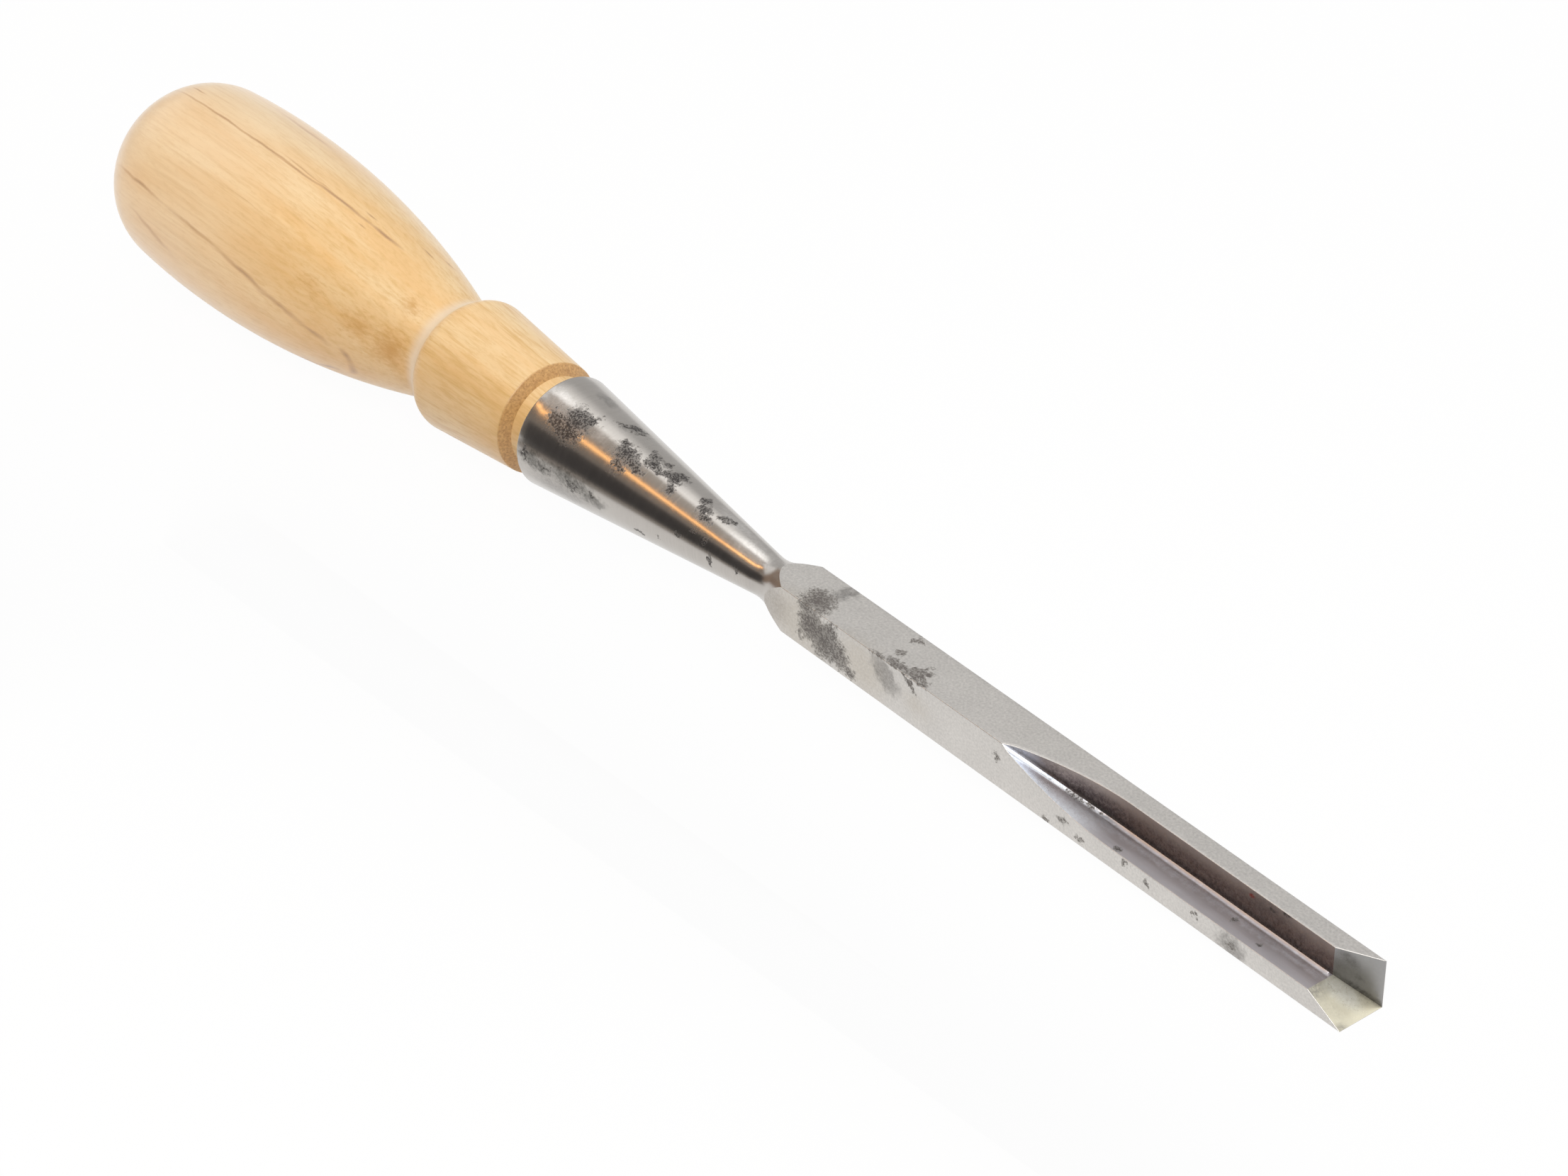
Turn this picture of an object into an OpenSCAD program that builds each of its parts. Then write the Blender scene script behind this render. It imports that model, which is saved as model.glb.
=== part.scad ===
// Socket corner chisel: a square steel blade with a fluted corner, and a turned wooden handle
// whose tapered tenon is driven into the blade's socket.
// The corner of the cutting edge is at the origin and +X runs to the butt of the handle.
// The two flat outer faces of the blade lie in the planes y = 0 and z = 0.

/* [Square bar] */
// Side of the square bar, which is the width of each cutting edge
bar_side = 8; // [6:0.5:11]
// Length of the square bar, from the cutting edge to the shoulder
bar_len = 116; // [100:1:140]

/* [Flute and cutting edge] */
// Thickness of the two legs beside the flute
leg_t = 3.3; // [2.5:0.1:4]
// Length of the flute at its full depth
flute_len = 45; // [30:0.5:60]
// Radius of the grinding wheel, which shapes the end of the flute
wheel_r = 44; // [25:1:50]
// Radius in the bottom of the flute
flute_root_r = 1; // [0.4:0.1:1.4]
// Length of the bevels on the inside of the legs
bevel_len = 6.3; // [4:0.1:10]
// Thickness left at the cutting edge
edge_t = 0.05; // [0.02:0.01:0.2]

/* [Neck and socket] */
// Slope of the turned shoulder behind the bar, in degrees
shoulder_angle = 23; // [15:1:30]
// Diameter where the lines of the shoulder and the socket meet
neck_d = 6.4; // [5.6:0.1:7.6]
// Radius of the cove that joins the shoulder and the socket
neck_cove_r = 9; // [4:0.5:12]
// Length of the socket, from the neck to the mouth
socket_len = 51.6; // [46:0.2:58]
// Outer diameter of the socket's mouth
mouth_d = 18.9; // [17:0.1:21]
// Thickness of the socket's wall, measured square to the axis
socket_wall = 2.1; // [1.4:0.1:2.6]
// Depth of the tapered bore
bore_depth = 38; // [30:1:42]
// Point angle of the drill that opened the bore, in degrees
drill_angle = 118; // [90:1:140]
// Chamfer inside the mouth
mouth_chamfer = 0.4; // [0.1:0.1:0.8]
// Radius of the mouth's outer edge
mouth_edge_r = 0.3; // [0.1:0.1:0.6]

/* [Tenon] */
// Radial play between the tenon and the bore
tenon_play = 0.06; // [0.02:0.01:0.15]
// Room between the tenon's end and the bottom of the bore
tenon_end_room = 3; // [1:0.5:8]
// Chamfer on the tenon's end
tenon_chamfer = 0.6; // [0.2:0.1:1.2]

/* [Handle] */
// Gap between the socket's mouth and the edge of the handle's shoulder
shoulder_gap = 4.6; // [2.5:0.1:6]
// How far the shoulder's face slopes towards the tenon
shoulder_slope = 1.1; // [0.2:0.1:2]
// Diameter of the shoulder
shoulder_d = 19; // [18:0.2:21]
// Radius of the shoulder's edge
shoulder_edge_r = 0.4; // [0.1:0.1:0.8]
// Length of the barrel, from the shoulder to its rounded rear edge
barrel_len = 18.5; // [14:0.5:26]
// Largest diameter of the barrel
barrel_d = 22.6; // [21.4:0.2:26]
// Radius of the barrel's rear edge
barrel_edge_r = 3; // [2:0.1:4]
// Diameter in the bottom of the cove behind the barrel
cove_d = 17.4; // [16:0.2:20]
// Radius of the cove
cove_r = 4.5; // [3.5:0.1:7]
// Distance from the shoulder to the largest diameter of the grip
grip_x = 79; // [70:1:86]
// Largest diameter of the grip
grip_d = 33.8; // [29:0.2:38]
// Length of the handle, from the shoulder to the butt
handle_len = 107; // [102:0.5:116]
// Radius of the butt's rounded edge
butt_edge_r = 13; // [8:0.5:14]
// Radius of the butt's dome
butt_dome_r = 21; // [18:0.5:28]

/* [Hidden] */
$fn = 96;
// What a cutter runs past the face that it opens
past = 1;
// Steps along each arc of a turned outline
arc_steps = 10;
edge_steps = 4;
grip_steps = 24;

// Lines of the blade, with x along the tool and r from its axis
axis = bar_side / 2;
half_diagonal = bar_side / sqrt(2);
neck_r = neck_d / 2;
mouth_r = mouth_d / 2;
neck_x = bar_len + (half_diagonal - neck_r) / tan(shoulder_angle);
mouth_x = neck_x + socket_len;
socket_angle = atan((mouth_r - neck_r) / socket_len);
bevel_angle = atan((leg_t - edge_t) / bevel_len);

// Outer and inner radius of the socket at a place along the tool
function socket_r(x) = mouth_r - (mouth_x - x) * tan(socket_angle);
function bore_r(x) = socket_r(x) - socket_wall;
function tenon_r(x) = bore_r(x) - tenon_play;

// Points along an arc, from one angle to another
function arc(centre, r, from, to, steps = arc_steps) =
    [for (i = [0 : steps]) let (a = from + (to - from) * i / steps) centre + r * [cos(a), sin(a)]];
// Angle of the line from p to q
function heading(p, q) = atan2(q[1] - p[1], q[0] - p[0]);
// The right-hand point at distance rp from p and distance rq from q
function meeting(p, rp, q, rq) =
    let (d = norm(q - p), u = (q - p) / d, along = (rp * rp - rq * rq + d * d) / (2 * d))
    p + along * u + sqrt(rp * rp - along * along) * [u[1], -u[0]];
// Points of a rounded corner, on an outline that runs from p past the corner to q
function rounded(p, corner, q, r) =
    let (a = heading(corner, p), b = heading(corner, q), half = (b - a) / 2, mid = (a + b) / 2)
    arc(corner + r / sin(half) * [cos(mid), sin(mid)], r, a + 270, b + 90, edge_steps);

// A solid turned about the tool's axis from an outline of [x, r] points
module turned(outline) {
    translate([0, axis, axis])
        rotate([0, 90, 0])
            rotate_extrude()
                polygon([for (p = outline) [p[1], p[0]]]);
}

// The blade before it is fluted, turned behind the bar so that the bar's corners run out
module turned_blank() {
    blank_r = half_diagonal + past;
    cove_reach = neck_cove_r * tan((shoulder_angle + socket_angle) / 2);
    cove_x = neck_x + cove_reach * cos(socket_angle) - neck_cove_r * sin(socket_angle);
    cove_centre = [cove_x, socket_r(cove_x) + neck_cove_r / cos(socket_angle)];
    turned(concat(
        [[0, 0], [0, blank_r], [bar_len - past / tan(shoulder_angle), blank_r]],
        arc(cove_centre, neck_cove_r, 270 - shoulder_angle, 270 + socket_angle),
        rounded([neck_x, neck_r], [mouth_x, mouth_r], [mouth_x, 0], mouth_edge_r),
        [[mouth_x, 0]]
    ));
}

// The square bar, and room for the round socket behind the neck
module square_and_socket_bounds() {
    socket_bound = mouth_r + past;
    cube([neck_x, bar_side, bar_side]);
    translate([neck_x, axis, axis])
        rotate([0, 90, 0])
            cylinder(r = socket_bound, h = socket_len + past);
}

// The straight length of the flute, with its rounded bottom
module flute_cut() {
    root = leg_t + flute_root_r;
    far = bar_side + past;
    translate([-past, 0, 0])
        rotate([90, 0, 90])
            linear_extrude(flute_len + past)
                polygon(concat(
                    arc([root, root], flute_root_r, 180, 270),
                    [[far, leg_t], [far, far], [leg_t, far]]
                ));
}

// The edge of the grinding wheel, a right-angled rim that leaves the flute's run-out
module wheel_cut() {
    rim_half = (bar_side - leg_t) * sqrt(2) + past;
    tip_centre = wheel_r - flute_root_r * sqrt(2);
    centre = leg_t + wheel_r / sqrt(2);
    translate([flute_len, centre, centre])
        rotate([45, 0, 0])
            rotate_extrude()
                polygon(concat(
                    [[0, -rim_half], [wheel_r - rim_half, -rim_half]],
                    arc([tip_centre, 0], flute_root_r, -45, 45),
                    [[wheel_r - rim_half, rim_half], [0, rim_half]]
                ));
}

// The inside bevels, the space above one sloping plane and beside the other
module bevel_cut() {
    reach = 2 * (bevel_len + bar_side);
    intersection() {
        translate([0, 0, edge_t])
            rotate([0, -bevel_angle, 0])
                translate([-reach / 2, -reach / 2, 0])
                    cube(reach);
        translate([0, edge_t, 0])
            rotate([0, 0, bevel_angle])
                translate([-reach / 2, 0, -reach / 2])
                    cube(reach);
    }
}

// The tapered bore of the socket, with its drill point and its chamfered mouth
module bore_cut() {
    bottom_x = mouth_x - bore_depth;
    point_len = bore_r(bottom_x) / tan(drill_angle / 2);
    chamfer_x = mouth_x - mouth_chamfer;
    lip_r = bore_r(chamfer_x) + mouth_chamfer;
    turned([
        [bottom_x - point_len, 0],
        [bottom_x, bore_r(bottom_x)],
        [chamfer_x, bore_r(chamfer_x)],
        [mouth_x, lip_r],
        [mouth_x + past, lip_r + past],
        [mouth_x + past, 0]
    ]);
}

module blade() {
    color("silver")
        difference() {
            intersection() {
                turned_blank();
                square_and_socket_bounds();
            }
            flute_cut();
            wheel_cut();
            bevel_cut();
            bore_cut();
        }
}

module handle() {
    // Tenon and shoulder
    tip_x = mouth_x - bore_depth + tenon_end_room;
    shoulder_x = mouth_x + shoulder_gap;
    root_x = shoulder_x - shoulder_slope;
    root = [root_x, tenon_r(root_x)];
    shoulder = [shoulder_x, shoulder_d / 2];
    // Barrel and its rear edge
    barrel_r = barrel_d / 2;
    barrel_angle = heading(shoulder, [shoulder_x + barrel_len, barrel_r]);
    edge_centre = [shoulder_x + barrel_len + barrel_edge_r * sin(barrel_angle),
                   barrel_r - barrel_edge_r * cos(barrel_angle)];
    // Cove, which meets the barrel's edge in a smooth reverse curve
    cove_rise = cove_d / 2 + cove_r - edge_centre[1];
    cove_centre = edge_centre + [sqrt(pow(barrel_edge_r + cove_r, 2) - pow(cove_rise, 2)), cove_rise];
    // Grip, one long arc that flows out of the cove and peaks at the largest diameter
    grip_run = shoulder_x + grip_x - cove_centre[0];
    grip_drop = cove_centre[1] - grip_d / 2;
    grip_arc_r = (pow(grip_run, 2) + pow(grip_drop, 2) - pow(cove_r, 2)) / (grip_d - cove_d);
    grip_centre = [shoulder_x + grip_x, grip_d / 2 - grip_arc_r];
    // Butt, a rounded edge between the grip and a shallow dome
    dome_centre = [shoulder_x + handle_len - butt_dome_r, 0];
    butt_centre = meeting(grip_centre, grip_arc_r - butt_edge_r, dome_centre, butt_dome_r - butt_edge_r);
    // Angles at which the arcs meet
    edge_to_cove = heading(edge_centre, cove_centre);
    cove_to_grip = heading(cove_centre, grip_centre);
    grip_to_butt = heading(grip_centre, butt_centre);
    butt_to_dome = heading(dome_centre, butt_centre);
    color("burlywood")
        turned(concat(
            [[tip_x, 0], [tip_x, tenon_r(tip_x) - tenon_chamfer]],
            [[tip_x + tenon_chamfer, tenon_r(tip_x + tenon_chamfer)], root],
            rounded(root, shoulder, [shoulder_x + barrel_len, barrel_r], shoulder_edge_r),
            arc(edge_centre, barrel_edge_r, 90 + barrel_angle, edge_to_cove),
            arc(cove_centre, cove_r, edge_to_cove + 180, cove_to_grip + 360),
            arc(grip_centre, grip_arc_r, cove_to_grip + 180, grip_to_butt, grip_steps),
            arc(butt_centre, butt_edge_r, grip_to_butt, butt_to_dome),
            arc(dome_centre, butt_dome_r, butt_to_dome, 0)
        ));
}

blade();
handle();
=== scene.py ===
import math

import bmesh
import bpy
from mathutils import Matrix, Vector


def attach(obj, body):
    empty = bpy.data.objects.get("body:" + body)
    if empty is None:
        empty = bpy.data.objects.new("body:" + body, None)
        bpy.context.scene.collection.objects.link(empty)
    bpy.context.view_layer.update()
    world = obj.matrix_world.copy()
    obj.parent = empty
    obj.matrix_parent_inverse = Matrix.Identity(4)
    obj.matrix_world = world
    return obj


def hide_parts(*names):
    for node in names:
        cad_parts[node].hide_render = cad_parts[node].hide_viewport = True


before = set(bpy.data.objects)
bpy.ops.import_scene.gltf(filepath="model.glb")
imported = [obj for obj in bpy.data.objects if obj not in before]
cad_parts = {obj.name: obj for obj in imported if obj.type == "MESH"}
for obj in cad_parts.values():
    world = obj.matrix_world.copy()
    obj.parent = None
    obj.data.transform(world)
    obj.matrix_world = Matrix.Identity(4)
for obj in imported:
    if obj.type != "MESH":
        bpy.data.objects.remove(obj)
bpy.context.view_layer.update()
mm = 0.001
print("frame: blade and handle loaded")


# Small helpers

def linearFromHex(code):
    def channel(pair):      # the sRGB curve
        value = int(pair, 16) / 255
        return value / 12.92 if value <= 0.04045 else ((value + 0.055) / 1.055) ** 2.4
    return tuple(channel(code[i:i + 2]) for i in (1, 3, 5)) + (1.0,)


def addNode(tree, kind, inputs=(), **settings):
    # kind goes without the ShaderNode or GeometryNode in front of it. Inputs go by name or else in
    # order, and a node among them stands for its first output.
    node = tree.nodes.new(kind if kind.startswith("NodeGroup") else tree.bl_idname[:-4] + kind)
    for name, value in settings.items():
        setattr(node, name, value)
    for key, value in inputs.items() if isinstance(inputs, dict) else enumerate(inputs):
        if isinstance(value, bpy.types.Node):
            value = value.outputs[0]
        if isinstance(value, bpy.types.NodeSocket):
            tree.links.new(value, node.inputs[key])
        else:
            node.inputs[key].default_value = value
    return node


def startMaterial(name):
    material = bpy.data.materials.new(name)
    material.use_nodes = True
    material.node_tree.nodes.clear()
    return material, material.node_tree


def newObject(name, data):
    obj = bpy.data.objects.new(name, data)
    bpy.context.scene.collection.objects.link(obj)
    return obj


def newSheet(name, width, height, material):
    w, h = width * mm / 2, height * mm / 2
    mesh = bpy.data.meshes.new(name)
    mesh.from_pydata([(-w, -h, 0), (w, -h, 0), (w, h, 0), (-w, h, 0)], [], [(0, 1, 2, 3)])
    mesh.materials.append(material)
    return newObject(name, mesh)


def arcPoints(centre, radius, start, end, steps):
    turns = [math.radians(start + (end - start) * i / steps) for i in range(steps + 1)]
    return [(centre[0] + radius * math.cos(a), centre[1] + radius * math.sin(a)) for a in turns]


def heading(p, q):
    return math.degrees(math.atan2(q[1] - p[1], q[0] - p[0]))


def roundedCorner(p, corner, q, radius, steps=5):
    a, b = heading(corner, p), heading(corner, q)
    reach = radius / math.sin(math.radians((b - a) / 2))
    middle = math.radians((a + b) / 2)
    centre = (corner[0] + reach * math.cos(middle), corner[1] + reach * math.sin(middle))
    return arcPoints(centre, radius, a + 270, b + 90, steps)


def between(p, q, count):
    steps = [(i + 1) / (count + 1) for i in range(count)]
    return [(p[0] + (q[0] - p[0]) * t, p[1] + (q[1] - p[1]) * t) for t in steps]


def spread(low, high, steps, power=1.0):
    # places from low to high, which a power above 1 crowds toward low
    return [low + (high - low) * (i / steps) ** power for i in range(steps + 1)]


def solve(rule, low, high):
    # the place where a falling rule passes zero, by 60 halvings
    for _ in range(60):
        middle = (low + high) / 2
        low, high = (middle, high) if rule(middle) > 0 else (low, middle)
    return low


def finishMesh(shape, mesh, weld, crease):
    bmesh.ops.remove_doubles(shape, verts=shape.verts, dist=weld * mm)
    bmesh.ops.recalc_face_normals(shape, faces=shape.faces)
    # smooth shading that breaks at creases and where the finish changes
    for face in shape.faces:
        face.smooth = True
    for edge in shape.edges:
        finishes = {face.material_index for face in edge.link_faces}
        edge.smooth = edge.calc_face_angle(0) < math.radians(crease) and len(finishes) == 1
    shape.to_mesh(mesh)
    shape.free()


# The blade's lines, in mm, the same as the solid's
blade = {
    "side": 8.0, "barLen": 116.0,
    "legT": 3.3, "fluteLen": 45.0, "wheelR": 44.0, "rootR": 1.0,
    "bevelLen": 6.3, "edgeT": 0.05,
    "shoulderAngle": 23.0, "neckD": 6.4, "neckCoveR": 9.0,
    "socketLen": 51.6, "mouthD": 18.9, "wall": 2.1,
    "boreDepth": 38.0, "drillAngle": 118.0, "mouthChamfer": 0.4, "mouthEdgeR": 0.3,
    "edgeBreak": 0.07,      # worn arris of the bar's long edges
    "edgeShare": 0.4,       # the most that an arris takes of a thin leg
    "cornerLoss": 0.42,     # how far an arris lies inside the sharp corner, in edge breaks
    "cornerSteps": 11, "flatSteps": 9, "lipSteps": 4, "wallSteps": 6, "rootSteps": 11,
    "flatSpread": (1.5, 19.0, 12.0),    # half angle of a flat's points: least, most, mm until then
    "weld": 0.0008, "crease": 19,
}
axis = blade["side"] / 2
halfDiagonal = blade["side"] / math.sqrt(2)
shoulderSlope = math.tan(math.radians(blade["shoulderAngle"]))
neckX = blade["barLen"] + (halfDiagonal - blade["neckD"] / 2) / shoulderSlope
mouthX = neckX + blade["socketLen"]
socketAngle = math.atan((blade["mouthD"] - blade["neckD"]) / 2 / blade["socketLen"])
bevelSlope = (blade["legT"] - blade["edgeT"]) / blade["bevelLen"]
wheelCentre = blade["legT"] + blade["wheelR"] / math.sqrt(2)
tipCentre = blade["wheelR"] - blade["rootR"] * math.sqrt(2)
coveReach = blade["neckCoveR"] * math.tan((math.radians(blade["shoulderAngle"]) + socketAngle) / 2)
coveX = neckX + coveReach * math.cos(socketAngle) - blade["neckCoveR"] * math.sin(socketAngle)
coveStart = neckX - coveReach * math.cos(math.radians(blade["shoulderAngle"]))
coveEnd = neckX + coveReach * math.cos(socketAngle)
fluteCount = 2 * blade["lipSteps"] + 2 * blade["wallSteps"] + blade["rootSteps"]
cornerCounts = (blade["cornerSteps"], fluteCount, blade["cornerSteps"], blade["cornerSteps"])


def socketRadius(x):
    return blade["mouthD"] / 2 - (mouthX - x) * math.tan(socketAngle)


def boreRadius(x):
    return socketRadius(x) - blade["wall"]


def turnedRadius(x):
    # the turned line: down off the bar's corners, through the neck's cove, up the cone
    if x < coveStart:
        return halfDiagonal - (x - blade["barLen"]) * shoulderSlope
    if x < coveEnd:
        centreR = socketRadius(coveX) + blade["neckCoveR"] / math.cos(socketAngle)
        return centreR - math.sqrt(blade["neckCoveR"] ** 2 - (x - coveX) ** 2)
    return socketRadius(x)


tongueTip = solve(lambda x: turnedRadius(x) - axis, blade["barLen"], coveX)


def flutePoint(x, h):
    # a point of the ground flute, h to the near side of its bottom line
    run = max(0.0, x - blade["fluteLen"])
    if abs(h) < blade["rootR"] / math.sqrt(2):
        reach = tipCentre + math.sqrt(blade["rootR"] ** 2 - h * h)
    else:
        reach = blade["wheelR"] - abs(h)
    depth = math.sqrt(reach * reach - run * run)
    return (wheelCentre - (depth - h) / math.sqrt(2), wheelCentre - (depth + h) / math.sqrt(2))


farthestEnd = blade["fluteLen"] + blade["wheelR"] * 0.9      # the run-out is always shorter than this
fluteEnd = solve(lambda x: blade["side"] - flutePoint(x, 0)[0], blade["fluteLen"], farthestEnd)


def fluteWalls(x, edge):
    # the flute from the near lip down to its bottom and up to the top lip
    lip = solve(lambda h: blade["side"] - edge - flutePoint(x, h)[0], 0, blade["side"])
    root = min(blade["rootR"] / math.sqrt(2), lip / 2)
    walls = [lip + (root - lip) * i / blade["wallSteps"] for i in range(blade["wallSteps"])]
    curve = [root * math.sin(math.radians(90 - 180 * i / (blade["rootSteps"] - 1)))
             for i in range(blade["rootSteps"])]
    places = walls + curve + [-h for h in reversed(walls)]
    thick = blade["edgeT"] + x * bevelSlope
    outer, bottom = blade["side"] - edge, flutePoint(x, 0)[0]
    hair = 1e-9
    points = []
    for h in places:
        y, z = flutePoint(x, h)
        if x <= blade["bevelLen"]:      # the bevels thin both legs and meet in a sharp corner
            along = thick + (max(y, z) - bottom) * (outer - thick) / (outer - bottom)
            y, z = (along, thick) if h >= 0 else (thick, along)
        elif min(y, z) > thick:         # the bevels still cut the rounded bottom here
            y, z = (thick, z) if z > y + hair else (y if y > z + hair else thick, thick)
        points.append((y, z))
    return points


def barRing(x):
    side = blade["side"]
    leg = min(blade["edgeT"] + x * bevelSlope, blade["legT"])
    edge = min(blade["edgeBreak"], leg * blade["edgeShare"])
    corner, flat, lip = blade["cornerSteps"] - 1, blade["flatSteps"], blade["lipSteps"] - 1
    if x < fluteEnd:
        walls = fluteWalls(x, edge)
        top = walls[0][1]
        fluted = arcPoints((side - edge, top - edge), edge, 0, 90, lip) + walls \
            + arcPoints((top - edge, side - edge), edge, 0, 90, lip)
    else:
        top = side
        fluted = arcPoints((side - edge, side - edge), edge, 0, 90, fluteCount - 1)
    return arcPoints((side - edge, edge), edge, -90, 0, corner) \
        + between((side, edge), (side, top - edge), flat) + fluted \
        + between((top - edge, side), (edge, side), flat) \
        + arcPoints((edge, side - edge), edge, 90, 180, corner) \
        + between((0, side - edge), (0, edge), flat) \
        + arcPoints((edge, edge), edge, 180, 270, corner) \
        + between((edge, 0), (side - edge, 0), flat)


def turnedRing(radius, x):
    # a round section, or the square cut round at its corners while the tongues last
    onTongue = radius > axis and x < tongueTip
    least, most, growth = blade["flatSpread"]
    if onTongue:
        split = math.degrees(math.acos(axis / radius))
    else:
        split = min(most, max(least, most * (x - tongueTip) / growth))
    points = []
    for quarter, count in enumerate(cornerCounts):
        middle = -45 + 90 * quarter
        points += arcPoints((axis, axis), radius, middle - 45 + split, middle + 45 - split, count - 1)
        for i in range(blade["flatSteps"]):
            turn = math.radians(split * (2 * (i + 1) / (blade["flatSteps"] + 1) - 1))
            reach = axis / math.cos(turn) if onTongue else radius
            face = math.radians(middle + 45)
            points.append((axis + reach * math.cos(face + turn), axis + reach * math.sin(face + turn)))
    return points


def bladeRings():
    bevelEnd, fullEnd, barEnd = blade["bevelLen"], blade["fluteLen"], blade["barLen"]
    lost = blade["cornerLoss"] * blade["edgeBreak"]
    firstCut = solve(lambda x: turnedRadius(x) - halfDiagonal + lost, barEnd, tongueTip)
    # stretches of rings: from x, to x, steps, crowding toward the first x
    barStretches = ((0, bevelEnd, 8, 1.4), (bevelEnd + 0.02, bevelEnd + 0.6, 8),
                    (bevelEnd + 1.5, fullEnd, 10), (fluteEnd - 0.02, fullEnd + 0.4, 30, 1.4),
                    (fluteEnd + 0.05, barEnd, 12))
    turnedStretches = ((tongueTip - 0.01, firstCut, 18, 1.6), (tongueTip + 0.01, coveEnd, 14),
                       (coveEnd + 2, mouthX - 2, 14))
    rings = [(x, barRing(x)) for stretch in barStretches for x in sorted(spread(*stretch))]
    rings += [(x, turnedRing(turnedRadius(x), x))
              for stretch in turnedStretches for x in sorted(spread(*stretch))]
    neck, mouth = (neckX, blade["neckD"] / 2), (mouthX, blade["mouthD"] / 2)
    lipEdge = roundedCorner(neck, mouth, (mouthX, 0), blade["mouthEdgeR"])
    rings += [(x, turnedRing(r, x)) for x, r in lipEdge]
    # in through the chamfer, down the bore and to the drill's point
    chamferX = mouthX - blade["mouthChamfer"]
    bottomX = mouthX - blade["boreDepth"]
    bottomR = boreRadius(bottomX)
    pointLen = bottomR / math.tan(math.radians(blade["drillAngle"] / 2))
    rings.append((mouthX, turnedRing(boreRadius(chamferX) + blade["mouthChamfer"], mouthX)))
    rings += [(x, turnedRing(boreRadius(x), mouthX)) for x in spread(chamferX, bottomX, 8)]
    rings += [(bottomX - pointLen * t, turnedRing(bottomR * (1 - t), mouthX)) for t in (0.5, 1.0)]
    return rings


def makeBlade(finishes):
    rings = bladeRings()
    count = len(rings[0][1])
    order = list(finishes)
    shape = bmesh.new()
    rows = [[shape.verts.new((x * mm, y * mm, z * mm)) for y, z in ring] for x, ring in rings]
    shape.faces.new(list(reversed(rows[0])))
    flats = set()
    place = 0
    for corner in cornerCounts:
        place += corner
        flats |= set(range(place - 1, place + blade["flatSteps"]))
        place += blade["flatSteps"]
    fluteFirst = blade["cornerSteps"] + blade["flatSteps"]
    fluteLast = fluteFirst + fluteCount
    for i in range(len(rows) - 1):
        x = (rings[i][0] + rings[i + 1][0]) / 2
        for j in range(count):
            k = (j + 1) % count
            face = shape.faces.new((rows[i][j], rows[i][k], rows[i + 1][k], rows[i + 1][j]))
            onFlute = fluteFirst + blade["lipSteps"] - 1 <= j <= fluteLast - blade["lipSteps"] - 1
            if rings[i][0] > tongueTip or (x > blade["barLen"] and j not in flats):
                finish = "turned"
            elif x < fluteEnd and onFlute:
                nearSide = j < (fluteFirst + fluteLast - 1) / 2
                finish = ("flute" if x > blade["bevelLen"] else "bevel") + ("Floor" if nearSide else "Wall")
            else:
                finish = "flats"
            face.material_index = order.index(finish)
    mesh = bpy.data.meshes.new("blade")
    finishMesh(shape, mesh, blade["weld"], blade["crease"])
    for finish in finishes.values():
        mesh.materials.append(finish)
    return newObject("blade_steel", mesh)


# The handle's lines, in mm, the same as the solid's
handle = {
    "tenonPlay": 0.06, "tenonEndRoom": 3.0, "tenonChamfer": 0.6,
    "shoulderGap": 4.6, "shoulderSlope": 1.1, "shoulderD": 19.0, "shoulderEdgeR": 0.4,
    "barrelLen": 18.5, "barrelD": 22.6, "barrelEdgeR": 3.0,
    "coveD": 17.4, "coveR": 4.5,
    "gripX": 79.0, "gripD": 33.8,
    "len": 107.0, "buttEdgeR": 13.0, "buttDomeR": 21.0,
    # steps round the lathe and along each part of the outline
    "sides": 144, "tenonSteps": 8, "barrelSteps": 6, "barrelEdgeSteps": 14, "coveSteps": 16,
    "gripSteps": 60, "buttEdgeSteps": 20, "domeSteps": 14,
    "swing": 10.0,          # radius of the circle that carries the outline round
    "weld": 0.001, "crease": 22,
}
shoulderX = mouthX + handle["shoulderGap"]
buttX = shoulderX + handle["len"]


def tenonRadius(x):
    return boreRadius(x) - handle["tenonPlay"]


def meeting(p, rp, q, rq):
    # the right-hand point at distance rp from p and rq from q
    d = math.dist(p, q)
    ux, uy = (q[0] - p[0]) / d, (q[1] - p[1]) / d
    along = (rp * rp - rq * rq + d * d) / (2 * d)
    off = math.sqrt(rp * rp - along * along)
    return (p[0] + along * ux + off * uy, p[1] + along * uy - off * ux)


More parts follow.
